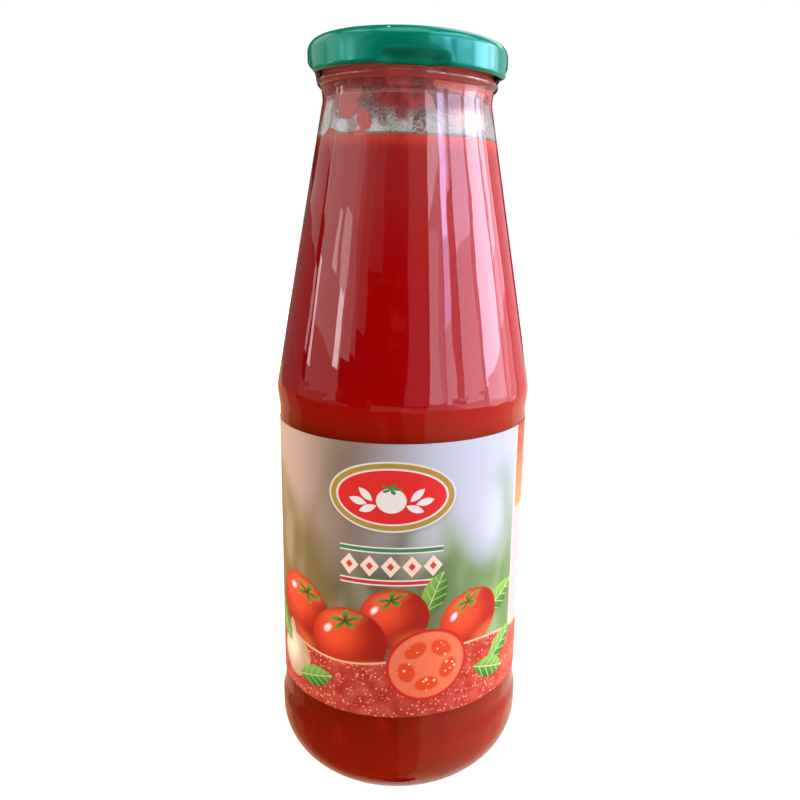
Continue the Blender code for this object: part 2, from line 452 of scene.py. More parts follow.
def lining_sheet():
    """A closed thin sheet all round the inside of the neck, mapped by its turn and its height."""
    piece = flat_grid("neck_lining", 144, 24)
    for vertex in piece.data.vertices:
        z = LINING_FOOT + (vertex.co.y + 0.5) * (LINING_TOP - LINING_FOOT)
        vertex.co = round_axis(vertex.co.x * 2 * pi, wall_radius(z) + LINING_IN_WALL, z)
    close_up(0.02)
    thicken(piece, LINING_WALL * MM, -1)
    bpy.ops.object.shade_smooth()
    return piece


def larger(tree, first, second):
    """The larger of two values."""
    return maths(tree, "MAXIMUM", first, second)


def across_and_up(tree, place):
    """The first two axes of a place."""
    axes = add(tree, "SeparateXYZ", {0: place})
    return axes.outputs["X"], axes.outputs["Y"]


def moved(tree, place, centre, size, turn=0.0):
    """The place as a shape there sees it: its centre at 0 and its edge at 1."""
    made = add(tree, "Mapping", {"Vector": place, "Location": (*centre, 0), "Rotation": (0, 0, turn),
                                 "Scale": (*size, 1)}, vector_type="TEXTURE")
    return made.outputs["Vector"]


def spot(tree, place, centre, size, turn=0.0, soft=0.15):
    """A soft-edged ellipse, as a mask."""
    length = length_of(tree, moved(tree, place, centre, size, turn))
    return ramp(tree, length, 1.0, 1.0 - soft)


def lining_material():
    """Grey mist in fine grains, and red juice with a ragged lower edge, painted lighter under the lid.
    Painted light lies on the mist: a pale bluish patch low at the left and a coral glow at the right.
    """
    material, tree, shader = blank_material("mist_juice_and_painted_light")
    sheet = add(tree, "UVMap").outputs["UV"]
    place = add(tree, "Mapping", {"Vector": sheet, "Location": (-180, LINING_FOOT, 0),
                                  "Scale": (360, LINING_TOP - LINING_FOOT, 1)}).outputs["Vector"]
    across, height = across_and_up(tree, place)
    turn = maths(tree, "ABSOLUTE", across)
    rag = noise_on(tree, (260, 260, 120), 4.0)
    drips = noise_on(tree, (190, 190, 18), 1.0)
    fine = object_place(tree, (2300, 2300, 2300))
    grain = add(tree, "TexVoronoi", {"Vector": fine, "Scale": 1.0}, feature="F1")
    patches = noise_on(tree, (130, 130, 130), 2.0)
    behind = ramp(tree, turn, 60.0, 120.0)
    edge = minus(tree, FILM_EDGE, times(tree, behind, 2.0))
    hang = times(tree, minus(tree, drips, 0.5), 7.0)
    fray = times(tree, minus(tree, rag, 0.5), 12.0)
    above = plus(tree, minus(tree, height, edge), plus(tree, hang, fray))
    film = ramp(tree, above, -3.0, 2.0)
    run = spot(tree, place, (-4.0, 200.8), (7.0, 4.0), soft=0.7)
    left_film = times(tree, spot(tree, place, (-88.0, 206.5), (30.0, 6.5), soft=0.6), 0.8)
    drape = spot(tree, place, (-2.0, 204.6), (34.0, 6.0), soft=1.0)
    torn = plus(tree, drape, minus(tree, rag, 0.5))
    front_film = times(tree, ramp(tree, torn, 0.22, 0.55), 0.85)
    hanging = larger(tree, times(tree, run, 0.85), front_film)
    juice = larger(tree, larger(tree, film, left_film), hanging)
    grains = ramp(tree, grain.outputs["Distance"], 0.62, 0.22)
    clear_spots = ramp(tree, patches, 0.34, 0.54)
    mist = times(tree, plus(tree, 0.14, times(tree, grains, 0.44)), clear_spots)
    foot = ramp(tree, height, LINING_FOOT + 1.3, LINING_FOOT + 0.6)
    wash = ramp(tree, rag, 0.35, 0.7)
    red = blend(tree, wash, (0.22, 0.015, 0.013, 1), (0.42, 0.060, 0.050, 1))
    # Under the lid the juice is painted lighter. This is painted light that makes up for the lid's shade.
    brightened_under_lid = ramp(tree, height, 209.5, 212.0)
    red = blend(tree, brightened_under_lid, red, (0.60, 0.075, 0.048, 1))
    red = blend(tree, left_film, red, (0.70, 0.15, 0.10, 1))
    grey = blend(tree, grains, (0.20, 0.18, 0.165, 1), (0.54, 0.50, 0.46, 1))
    tinged_mist_and_painted_light = blend(tree, ramp(tree, height, 199.5, 203.5), grey, (0.28, 0.055, 0.050, 1))
    # Painted light on the mist: a pale bluish patch low at the left front, and a coral glow at the right.
    pale_light_patch = spot(tree, place, (-46.5, 197.4), (8.5, 2.8), soft=0.6)
    glow = times(tree, spot(tree, place, (44.0, 199.6), (26.0, 4.4), soft=0.8), 0.75)
    tinged_mist_and_painted_light = blend(tree, pale_light_patch, tinged_mist_and_painted_light, (0.64, 0.72, 0.84, 1))
    tinged_mist_and_painted_light = blend(tree, glow, tinged_mist_and_painted_light, (0.85, 0.53, 0.41, 1))
    tinged_mist_and_painted_light = blend(tree, foot, tinged_mist_and_painted_light, (0.10, 0.08, 0.06, 1))
    tree.links.new(blend(tree, juice, tinged_mist_and_painted_light, red), shader.inputs["Base Color"])
    thick = larger(tree, times(tree, juice, 0.9), times(tree, pale_light_patch, 0.8))
    thick = larger(tree, thick, larger(tree, times(tree, foot, 0.5), glow))
    tree.links.new(larger(tree, thick, mist), shader.inputs["Alpha"])
    set_sockets(shader, {"Roughness": 0.45, "Specular IOR Level": 0.15})
    return material


lining = lining_sheet()
lining.data.materials.append(lining_material())
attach(lining, "root")

# Smears in the neck
# Thick splashes of passata left on the inside of the neck when the bottle was filled and tipped.
SMEAR_CELL = 0.22
SMEAR_THICKNESS = 0.35
SMEAR_OFF_WALL = 0.07
SMEAR_FOOT = FILL_LEVEL - 0.6
SMEAR_TOP = 209.5
SPLASHES = [
    (-43.0, 205.2, 12.0, 2.0, 0.10),
    (-42.0, 202.0, 7.5, 3.4, 0.0),
    (-28.5, 198.7, 6.2, 2.9, -0.25),
    (-57.0, 195.0, 8.0, 2.3, 0.0),
    (-84.0, 201.0, 8.0, 5.5, 0.0),
    (-30.0, 195.2, 5.0, 1.0, 0.0),
    (45.0, 208.4, 28.0, 2.3, 0.0),
    (132.0, 206.5, 22.0, 3.2, 0.3),
    (-112.0, 205.5, 15.0, 3.4, 0.0),
    (-128.0, 200.4, 5.0, 3.0, 0.2),
    (170.0, 203.4, 7.0, 3.6, 0.0),
    (100.0, 198.0, 6.0, 2.4, -0.2),
]


def ragged(azimuth, z, size, seed):
    """Noise from -1 to 1 on the neck, without a seam behind."""
    radius = BORE_RADIUS / size
    return noise.noise(Vector((radius * sin(azimuth), -radius * cos(azimuth), z / size + seed)))


def splash_cover(azimuth, z):
    """How far inside a splash this place is, in shares of the splash: above 0 is inside."""
    cover = -1
    for middle, height, half_width, half_height, lean in SPLASHES:
        across = ((azimuth - radians(middle) + pi) % (2 * pi) - pi) / radians(half_width)
        up = (z - height) / half_height - lean * across
        cover = max(cover, 1 - hypot(across, up))
    return cover + 0.28 * ragged(azimuth, z, 3.0, 3) + 0.10 * ragged(azimuth, z, 1.1, 8)


def smear_patches():
    """A grid on the inside of the neck, cut down to the splashes, thickened and rounded."""
    turns = int(2 * pi * BORE_RADIUS / SMEAR_CELL)
    rows = int((SMEAR_TOP - SMEAR_FOOT) / SMEAR_CELL)
    piece = flat_grid("neck_smears", turns, rows, calc_uvs=False)
    for vertex in piece.data.vertices:
        azimuth = vertex.co.x * 2 * pi
        z = SMEAR_FOOT + (vertex.co.y + 0.5) * (SMEAR_TOP - SMEAR_FOOT)
        vertex.co = (azimuth, z, splash_cover(azimuth, z))
    bpy.ops.object.mode_set(mode="EDIT")
    bpy.ops.mesh.select_mode(type="FACE")
    bpy.ops.mesh.select_all(action="DESELECT")
    bpy.ops.object.mode_set(mode="OBJECT")
    for face in piece.data.polygons:
        face.select = face.center.z < 0
    bpy.ops.object.mode_set(mode="EDIT")
    bpy.ops.mesh.delete(type="FACE")
    bpy.ops.mesh.select_mode(type="VERT")
    bpy.ops.mesh.select_non_manifold(extend=False)
    for _ in range(5):
        bpy.ops.mesh.vertices_smooth(factor=0.5)
    bpy.ops.object.mode_set(mode="OBJECT")
    for vertex in piece.data.vertices:
        azimuth, z, _ = vertex.co
        vertex.co = round_axis(azimuth, wall_radius(z) - SMEAR_OFF_WALL, z)
    close_up(0.01)
    thicken(piece, SMEAR_THICKNESS * MM, 1)
    bpy.ops.object.shade_smooth()
    return piece


def smear_material():
    """Thick wet passata, coral where it lies against the glass."""
    material, tree, shader = blank_material("smeared_pulp")
    patch = noise_on(tree, (420, 420, 420), 3.0)
    colour = blend(tree, patch, (0.50, 0.055, 0.03, 1), (0.52, 0.13, 0.09, 1))
    tree.links.new(colour, shader.inputs["Base Color"])
    set_sockets(shader, {"Roughness": 0.5, "Specular IOR Level": 0.1})
    return material


smears = smear_patches()
smears.data.materials.append(smear_material())
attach(smears, "root")

# Droplets in the neck
# Water that condensed on the inside of the neck above the passata: flat clear beads of many sizes.
DROPLET_COUNT = 1100
DROPLET_SIZES = (0.10, 0.42)
DROPLET_FOOT = FILL_LEVEL + 0.8
DROPLET_REACH = 12.0
DROPLET_OFF_WALL = 0.08


def droplets():
    """Low clear beads on the inner wall, joined, each a copy of one modelled bead."""
    bpy.ops.object.select_all(action="DESELECT")
    bpy.ops.mesh.primitive_ico_sphere_add(subdivisions=1, radius=1.0)
    bead = bpy.context.object
    draw = random.Random(11)
    copies = []
    for _ in range(DROPLET_COUNT):
        azimuth = draw.uniform(-pi, pi)
        z = DROPLET_FOOT + DROPLET_REACH * draw.random() ** 1.8
        size = DROPLET_SIZES[0] + (DROPLET_SIZES[1] - DROPLET_SIZES[0]) * draw.random() ** 3
        copy = bead.copy()
        copy.data = bead.data.copy()
        place = Matrix.Translation(round_axis(azimuth, wall_radius(z) - DROPLET_OFF_WALL, z))
        turn = Matrix.Rotation(azimuth, 4, "Z")
        shape = Matrix.Diagonal((size * MM, 0.5 * size * MM, size * draw.uniform(0.9, 1.3) * MM, 1))
        copy.data.transform(place @ turn @ shape)
        bpy.context.scene.collection.objects.link(copy)
        copies.append(copy)
    bpy.data.objects.remove(bead)
    for copy in copies:
        copy.select_set(True)
    bpy.context.view_layer.objects.active = copies[0]
    bpy.ops.object.join()
    piece = bpy.context.object
    piece.name = "droplets"
    bpy.ops.object.shade_smooth()
    return piece


def water_material():
    """Clear water with a little haze."""
    material, tree, shader = blank_material("condensed_water")
    haze = noise_on(tree, (900, 900, 900), 1.0)
    tint = blend(tree, haze, (0.80, 0.82, 0.80, 1), (0.95, 0.96, 0.95, 1))
    tree.links.new(tint, shader.inputs["Base Color"])
    set_sockets(shader, {"Roughness": 0.1, "IOR": 1.33, "Transmission Weight": 1.0})
    return material


beads = droplets()
beads.data.materials.append(water_material())
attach(beads, "root")

# Label
# Coated paper, printed and glued round the sunk panel, with its end lapped at the back. The front
# print is a blurred garden, an oval badge, a chain of diamonds, and tomatoes, garlic and basil
# over sauce. The back is a cream panel with thin rules under a sauce-red header.
LABEL_BOTTOM = 31.35
LABEL_TOP = 114.45
PAPER = 0.11
GLUE_LIFT = 0.03
LAP = 7.0
LAP_RISE = 9.0
LABEL_SKEW = 0.5
RIPPLE = 0.02
LABEL_RADIUS = PANEL_RADIUS + GLUE_LIFT
LABEL_LENGTH = 2 * pi * LABEL_RADIUS + LAP
LABEL_HEIGHT = LABEL_TOP - LABEL_BOTTOM


def wrapped_label():
    """A flat sheet with the print's map on it, given its thickness and wrapped round the bottle."""
    piece = flat_grid("paper_label", 260, 36)
    bpy.ops.object.mode_set(mode="EDIT")
    bpy.ops.transform.resize(value=(LABEL_LENGTH, LABEL_HEIGHT, 1))
    bpy.ops.object.mode_set(mode="OBJECT")
    thicken(piece, PAPER, 1)
    for vertex in piece.data.vertices:
        x, y, lift = vertex.co
        azimuth = (x + LAP / 2) / LABEL_RADIUS
        lapped = (PAPER + RIPPLE) * wave(x, LABEL_LENGTH / 2 - LAP - LAP_RISE, LABEL_LENGTH / 2 - LAP)
        ripple = RIPPLE * noise.noise(Vector((x * 0.12, y * 0.03, 5)))
        radius = LABEL_RADIUS + lapped + max(0, lift) + RIPPLE + ripple
        z = (LABEL_BOTTOM + LABEL_TOP) / 2 + y + LABEL_SKEW * sin(azimuth)
        vertex.co = round_axis(azimuth, radius, z)
    bpy.ops.object.mode_set(mode="EDIT")
    bpy.ops.mesh.select_all(action="SELECT")
    bpy.ops.mesh.normals_make_consistent(inside=False)
    bpy.ops.object.mode_set(mode="OBJECT")
    bpy.ops.object.shade_smooth_by_angle(angle=SHARP_EDGE)
    return piece


def motif_group(name):
    """A node group for a motif of the print: its own place in, its colour and its mask out."""
    group = bpy.data.node_groups.new(name, "ShaderNodeTree")
    group.interface.new_socket("Place", in_out="INPUT", socket_type="NodeSocketVector")
    group.interface.new_socket("Colour", in_out="OUTPUT", socket_type="NodeSocketColor")
    group.interface.new_socket("Mask", in_out="OUTPUT", socket_type="NodeSocketFloat")
    start = group.nodes.new("NodeGroupInput")
    end = group.nodes.new("NodeGroupOutput")
    return group, start.outputs["Place"], end


def put_out(group, end, colour, mask):
    """Link a motif's colour and mask to its group's outputs."""
    group.links.new(colour, end.inputs["Colour"])
    group.links.new(mask, end.inputs["Mask"])
    return group


def polar(group, place):
    """The place's angle and its distance from the motif's middle."""
    across, up = across_and_up(group, place)
    return maths(group, "ARCTAN2", up, across), length_of(group, place)


def tomato_motif():
    """A ripe tomato with a lit side, a window's shine and a green star of sepals."""
    group, place, end = motif_group("Tomato")
    mask = spot(group, place, (0, 0), (1.0, 0.9), soft=0.035)
    lit = spot(group, place, (-0.25, 0.25), (1.05, 0.95), soft=0.9)
    colour = blend(group, lit, (0.34, 0.010, 0.004, 1), (0.82, 0.075, 0.022, 1))
    glow = times(group, spot(group, place, (0.3, -0.7), (0.8, 0.35), soft=0.9), 0.55)
    colour = blend(group, glow, colour, (0.80, 0.18, 0.04, 1))
    shoulder = times(group, spot(group, place, (0.05, 0.62), (0.8, 0.3), soft=0.9), 0.5)
    colour = blend(group, shoulder, colour, (0.85, 0.24, 0.06, 1))
    shine = times(group, spot(group, place, (-0.45, 0.36), (0.20, 0.12), 0.6, 0.8), 0.9)
    colour = blend(group, shine, colour, (1, 0.88, 0.82, 1))
    turn, length = polar(group, moved(group, place, (0.08, 0.55), (0.5, 0.28), 0.2))
    rays = maths(group, "ABSOLUTE", maths(group, "COSINE", times(group, turn, 2.5)))
    reach = plus(group, times(group, maths(group, "POWER", rays, 1.8), 0.8), 0.16)
    sepals = ramp(group, minus(group, reach, length), 0.0, 0.08)
    leaf = blend(group, length, (0.02, 0.07, 0.008, 1), (0.18, 0.34, 0.05, 1))
    return put_out(group, end, blend(group, sepals, colour, leaf), mask)


def leaf_motif():
    """A basil leaf, pointed at both ends, with a pale midrib and veins."""
    group, place, end = motif_group("Leaf")
    along, up = across_and_up(group, place)
    across = maths(group, "ABSOLUTE", up)
    width = minus(group, 1.0, times(group, along, along))
    mask = ramp(group, minus(group, width, across), 0.0, 0.06)
    slant = minus(group, along, times(group, across, 0.45))
    veins = maths(group, "SINE", times(group, slant, 17.0))
    light = ramp(group, up, -0.9, 0.9)
    colour = blend(group, light, (0.035, 0.15, 0.015, 1), (0.20, 0.42, 0.06, 1))
    colour = blend(group, ramp(group, veins, 0.72, 1.0), colour, (0.30, 0.50, 0.14, 1))
    colour = blend(group, ramp(group, across, 0.07, 0.02), colour, (0.45, 0.60, 0.27, 1))
    return put_out(group, end, colour, mask)


def cut_tomato_motif():
    """Half a tomato, cut side out: skin, pale wall, juicy chambers and seeds."""
    group, place, end = motif_group("Cut tomato")
    mask = spot(group, place, (0, 0), (1, 1), soft=0.035)
    flesh = spot(group, place, (0, 0), (0.93, 0.93), soft=0.06)
    colour = blend(group, flesh, (0.55, 0.018, 0.008, 1), (0.80, 0.17, 0.075, 1))
    turn, length = polar(group, place)
    lobes = maths(group, "ABSOLUTE", maths(group, "SINE", times(group, turn, 2.5)))
    ring = minus(group, 0.26, maths(group, "ABSOLUTE", minus(group, length, 0.52)))
    chamber = ramp(group, times(group, ring, lobes), 0.03, 0.10)
    colour = blend(group, chamber, colour, (0.72, 0.06, 0.015, 1))
    seeds = add(group, "TexVoronoi", {"Vector": place, "Scale": 7.0, "Randomness": 0.6}, feature="F1")
    seed = times(group, ramp(group, seeds.outputs["Distance"], 0.30, 0.20), chamber)
    return put_out(group, end, blend(group, seed, colour, (0.92, 0.70, 0.32, 1)), mask)


def garlic_motif():
    """A garlic bulb, cream with fine ribs that meet at its neck."""
    group, place, end = motif_group("Garlic")
    bulb = spot(group, place, (0, -0.15), (1.0, 0.82), soft=0.04)
    neck = spot(group, place, (0.02, 0.62), (0.24, 0.50), soft=0.10)
    mask = larger(group, bulb, neck)
    turn, length = polar(group, moved(group, place, (0.02, 0.75), (1, 1)))
    ribs = maths(group, "SINE", times(group, turn, 19.0))
    lit = spot(group, place, (-0.3, 0.1), (1.1, 1.0), soft=0.95)
    colour = blend(group, lit, (0.50, 0.33, 0.18, 1), (0.93, 0.80, 0.60, 1))
    rib = times(group, ramp(group, ribs, 0.5, 1.0), 0.4)
    return put_out(group, end, blend(group, rib, colour, (0.60, 0.38, 0.30, 1)), mask)


def motif_at(tree, group, place, centre, size, turn):
    """One motif's node, with its middle, size and turn on the print."""
    motif = tree.nodes.new("ShaderNodeGroup")
    motif.node_tree = group
    tree.links.new(moved(tree, place, centre, size, turn), motif.inputs["Place"])
    return motif


def lay_motif(tree, below, group, place, centre, size, turn=0.0):
    """One motif laid over what is below, with a soft shadow under it."""
    below_right = (centre[0] + 0.5, centre[1] - 0.8)
    shadow = spot(tree, place, below_right, (size[0] * 1.08, size[1] * 1.08), turn, 0.35)
    shaded = blend(tree, times(tree, shadow, 0.3), below, (0.14, 0.05, 0.02, 1))
    motif = motif_at(tree, group, place, centre, size, turn)
    return blend(tree, motif.outputs["Mask"], shaded, motif.outputs["Colour"])


def garden_ground(tree, place):
    """A warm wall at the left, a pale sky at the right and blurred greens below."""
    across, up = across_and_up(tree, place)
    shade = ramp(tree, across, -38.0, -13.0)
    wall = blend(tree, shade, (0.47, 0.325, 0.25, 1), (0.225, 0.165, 0.13, 1))
    sky = blend(tree, ramp(tree, across, -16.0, 10.0), wall, (0.455, 0.485, 0.545, 1))
    sky = blend(tree, ramp(tree, across, 12.0, 36.0), sky, (0.365, 0.40, 0.43, 1))
    blur = noise_at(tree, moved(tree, place, (7, 3), (1.0, 1.4)), 0.045, 0.0)
    blot = noise_at(tree, moved(tree, place, (40, 10), (1.0, 2.4)), 0.085, 1.0)
    rise = plus(tree, up, times(tree, blur, -60.0))
    field = ramp(tree, rise, 43.0, 16.0)
    left = ramp(tree, across, -8.0, -34.0)
    right = ramp(tree, across, -4.0, 22.0)
    grass = blend(tree, left, (0.105, 0.11, 0.045, 1), (0.20, 0.14, 0.038, 1))
    grass = blend(tree, right, grass, (0.12, 0.21, 0.053, 1))
    lit = blend(tree, left, (0.27, 0.24, 0.155, 1), (0.335, 0.235, 0.13, 1))
    lit = blend(tree, right, lit, (0.23, 0.34, 0.13, 1))
    greens = blend(tree, ramp(tree, blot, 0.46, 0.68), grass, lit)
    ground = blend(tree, times(tree, field, 0.95), sky, greens)
    for centre, size in (((7.5, 57.0), (8.0, 13.0)), ((29.0, 59.0), (7.5, 15.0))):
        cloud = times(tree, spot(tree, place, centre, size, soft=0.9), 0.8)
        ground = blend(tree, cloud, ground, (0.46, 0.505, 0.52, 1))
    return ground


def badge(tree, below, place, leaf):
    """An oval badge: gold rim, cream line, red field, and a small tomato between cream leaves."""
    shadow = times(tree, spot(tree, place, (-2.6, 67.3), (19.6, 11.2), soft=0.2), 0.4)
    below = blend(tree, shadow, below, (0.10, 0.06, 0.04, 1))
    for size, colour in (((18.6, 10.4), (0.72, 0.68, 0.62, 1)), ((18.1, 9.9), (0.38, 0.24, 0.035, 1)),
                         ((16.3, 8.4), (0.74, 0.70, 0.64, 1)), ((15.7, 7.9), (0.66, 0.02, 0.016, 1))):
        below = blend(tree, spot(tree, place, (-3.0, 68.0), size, soft=0.03), below, colour)
    sprig = spot(tree, place, (-3.0, 67.0), (4.3, 3.7), soft=0.05)
    for side in (-1, 1):
        for reach, rise, lean in ((7.2, 0.6, 0.75), (9.4, -1.4, 0.25), (6.6, -3.4, -0.35)):
            turn = lean if side > 0 else pi - lean
            centre = (-3.0 + side * reach, 68.0 + rise)
            motif = motif_at(tree, leaf, place, centre, (2.7, 1.1), turn)
            sprig = larger(tree, motif.outputs["Mask"], sprig)
    turn, length = polar(tree, moved(tree, place, (-3.0, 70.4), (2.6, 1.5)))
    rays = maths(tree, "ABSOLUTE", maths(tree, "COSINE", times(tree, turn, 2.5)))
    star = ramp(tree, minus(tree, plus(tree, rays, 0.15), length), 0.0, 0.1)
    below = blend(tree, sprig, below, (0.76, 0.72, 0.66, 1))
    return blend(tree, star, below, (0.05, 0.22, 0.05, 1))


def ornament(tree, below, place):
    """A cream chain of diamonds between a green rule and a red one, under the badge."""
    across, up = across_and_up(tree, moved(tree, place, (-3.0, 47.5), (1, 1)))
    inside = ramp(tree, maths(tree, "ABSOLUTE", across), 15.0, 14.8)
    link = maths(tree, "PINGPONG", across, 3.0)
    slope = plus(tree, times(tree, link, 1.15), maths(tree, "ABSOLUTE", up))
    chain = times(tree, ramp(tree, slope, 3.3, 3.1), inside)
    hole = ramp(tree, slope, 1.3, 1.1)
    below = blend(tree, chain, below, (0.86, 0.66, 0.52, 1))
    below = blend(tree, times(tree, hole, inside), below, (0.60, 0.05, 0.03, 1))
    for height, colour in ((4.9, (0.04, 0.22, 0.06, 1)), (-4.9, (0.62, 0.03, 0.02, 1))):
        off = maths(tree, "ABSOLUTE", minus(tree, up, height))
        edge = times(tree, ramp(tree, off, 1.0, 0.85), inside)
        rule = times(tree, ramp(tree, off, 0.6, 0.45), inside)
        below = blend(tree, edge, below, (0.78, 0.74, 0.68, 1))
        below = blend(tree, rule, below, colour)
    return below


def sauce_field(tree, below, place):
    """Red sauce with pips along the bottom of the print, with a paler wavy rim."""
    across, up = across_and_up(tree, place)
    swell = maths(tree, "SINE", times(tree, across, 0.0787))
    surface = plus(tree, times(tree, swell, 2.4), 19.0)
    depth = minus(tree, surface, up)
    pips = add(tree, "TexVoronoi", {"Vector": place, "Scale": 0.85}, feature="F1")
    pulpy = ramp(tree, noise_at(tree, place, 0.22, 4.0), 0.35, 0.7)
    sauce = blend(tree, pulpy, (0.41, 0.022, 0.013, 1), (0.53, 0.080, 0.048, 1))
    pip = ramp(tree, pips.outputs["Distance"], 0.34, 0.18)
    sauce = blend(tree, pip, sauce, (0.80, 0.28, 0.18, 1))
    sauce = blend(tree, ramp(tree, depth, 1.1, 0.5), sauce, (0.85, 0.42, 0.24, 1))
    return blend(tree, ramp(tree, depth, 0.0, 0.3), below, sauce)


def back_panel(tree, below, place):
    """The cream panel round the back: a sauce-red header over bare paper with a few thin rules."""
    across, up = across_and_up(tree, place)
    panel = larger(tree, ramp(tree, across, 40.2, 40.4), ramp(tree, across, -50.4, -50.6))
    inner = larger(tree, ramp(tree, across, 41.7, 41.9), ramp(tree, across, -51.9, -52.1))
    bare = (0.42, 0.40, 0.36, 1)
    header = blend(tree, ramp(tree, up, 84.0, 57.0), (0.34, 0.021, 0.011, 1), (0.50, 0.215, 0.055, 1))
    speckles = ramp(tree, noise_at(tree, place, 0.5, 3.0), 0.52, 0.75)
    header = blend(tree, speckles, header, (0.52, 0.27, 0.17, 1))
    rows = maths(tree, "PINGPONG", up, 3.0)
    rule = times(tree, ramp(tree, rows, 2.6, 2.8), ramp(tree, rows, 2.95, 2.75))
    paper = blend(tree, rule, bare, (0.22, 0.24, 0.165, 1))
    paper = blend(tree, ramp(tree, up, 24.0, 23.8), paper, bare)
    paper = blend(tree, ramp(tree, up, 54.0, 54.2), paper, bare)
    face = blend(tree, ramp(tree, up, 57.0, 57.2), paper, header)
    face = blend(tree, inner, (0.46, 0.44, 0.40, 1), face)
    return blend(tree, panel, below, face)


TOMATOES = [
    ((-2.0, 31.5), (10.5, 10.5), 0.25),
    ((-34.0, 28.0), (13.0, 12.5), -0.3),
    ((21.5, 28.5), (10.5, 10.5), 0.35),
    ((-16.0, 22.5), (12.5, 12.5), 0.2),
]
LEAVES_BEHIND = [
    ((9.5, 38.5), (7.5, 3.6), 1.2),
    ((33.5, 31.5), (8.0, 3.8), 0.45),
]
LEAVES_IN_FRONT = [
    ((-47.0, 20.0), (9.0, 4.2), 2.4),
    ((35.0, 15.0), (8.0, 3.8), 0.6),
    ((30.0, 9.5), (7.5, 3.5), -0.35),
    ((-28.0, 8.0), (7.5, 3.4), 0.3),
]


def print_material():
    """Satin coated paper with its print."""
    material, tree, shader = blank_material("printed_paper")
    sheet = add(tree, "UVMap").outputs["UV"]
    place = add(tree, "Mapping", {"Vector": sheet, "Location": (-LABEL_LENGTH / 2 + LAP / 2, 0, 0),
                                  "Scale": (LABEL_LENGTH, LABEL_HEIGHT, 1)}).outputs["Vector"]
    leaf = leaf_motif()
    tomato = tomato_motif()
    colour = garden_ground(tree, place)
    colour = badge(tree, colour, place, leaf)
    colour = ornament(tree, colour, place)
    for centre, size, turn in LEAVES_BEHIND:
        colour = lay_motif(tree, colour, leaf, place, centre, size, turn)
    for centre, size, turn in TOMATOES:
        colour = lay_motif(tree, colour, tomato, place, centre, size, turn)
    colour = back_panel(tree, colour, place)
    colour = sauce_field(tree, colour, place)
    colour = lay_motif(tree, colour, garlic_motif(), place, (-38.5, 12.5), (8.5, 9.0), 0.2)
    colour = lay_motif(tree, colour, cut_tomato_motif(), place, (8.0, 16.5), (12.5, 11.5), 0.3)
    for centre, size, turn in LEAVES_IN_FRONT:
        colour = lay_motif(tree, colour, leaf, place, centre, size, turn)
    tree.links.new(colour, shader.inputs["Base Color"])
    set_sockets(shader, {"Roughness": 0.42, "Specular IOR Level": 0.35})
    fibre = noise_on(tree, (900, 900, 900), 3.0)
    bump_by(tree, shader, fibre, 0.2, 0.1 * MM)
    return material


paper = wrapped_label()
paper.data.materials.append(print_material())
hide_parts("label")
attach(paper, "root")

# Camera
# It stands 240 mm from the bottle's axis, a little above its middle, and looks down by 13 degrees.
CAMERA_DISTANCE = 240.0
CAMERA_HEIGHT = 174.2
LOOK_DOWN = radians(13.18)
LOOK_RIGHT = radians(2.81)
TILT = radians(1.43)
SENSOR = 36.0
LENS = 35.19
SHIFT_RIGHT = -0.0513

camera = bpy.data.objects.new("camera", bpy.data.cameras.new("camera"))
bpy.context.scene.collection.objects.link(camera)
camera.data.sensor_width = SENSOR
camera.data.lens = LENS
camera.data.shift_x = SHIFT_RIGHT
camera.data.clip_start = 0.01
looks = Matrix.Rotation(-LOOK_RIGHT, 4, "Z") @ Matrix.Rotation(pi / 2 - LOOK_DOWN, 4, "X")
turned = looks @ Matrix.Rotation(TILT, 4, "Z")
camera.matrix_world = Matrix.Translation((0, -CAMERA_DISTANCE * MM, CAMERA_HEIGHT * MM)) @ turned
bpy.context.scene.camera = camera

# Light
# Tall windows at the right, seen as upright stripes in the glass, a dimmer wall with small lamps
# at the left, and soft fills that light the passata through the glass. Besides there is a soft
# lamp overhead, faint daylight all round, a white backdrop and a pale floor.
LIGHT_DISTANCE = 1.2
LIGHT_CENTRE = 0.17
FILL_HEIGHTS = (2, 55)
# Panes that end above or below these heights are only reflected, and light nothing matt.
MATT_LIGHT_TOPS = (-3, 45.5)


def window(name, azimuths, heights, glow, colour):
    """An upright pane of light. azimuths and heights are in degrees, from -Y to +X and from level."""
    start, end = (radians(turn) for turn in azimuths)
    low, high = (LIGHT_DISTANCE * tan(radians(rise)) for rise in heights)
    lamp = bpy.data.lights.new(name, "AREA")
    lamp.shape = "RECTANGLE"
    lamp.size = 2 * LIGHT_DISTANCE * tan((end - start) / 2)
    lamp.size_y = high - low
    lamp.color = colour
    lamp.energy = glow * pi * lamp.size * lamp.size_y
    pane = bpy.data.objects.new(name, lamp)
    middle = (start + end) / 2
    height = LIGHT_CENTRE + (low + high) / 2
    pane.location = (LIGHT_DISTANCE * sin(middle), -LIGHT_DISTANCE * cos(middle), height)
    pane.rotation_euler = (pi / 2, 0, middle)
    pane.visible_camera = False
    bpy.context.scene.collection.objects.link(pane)
    return pane


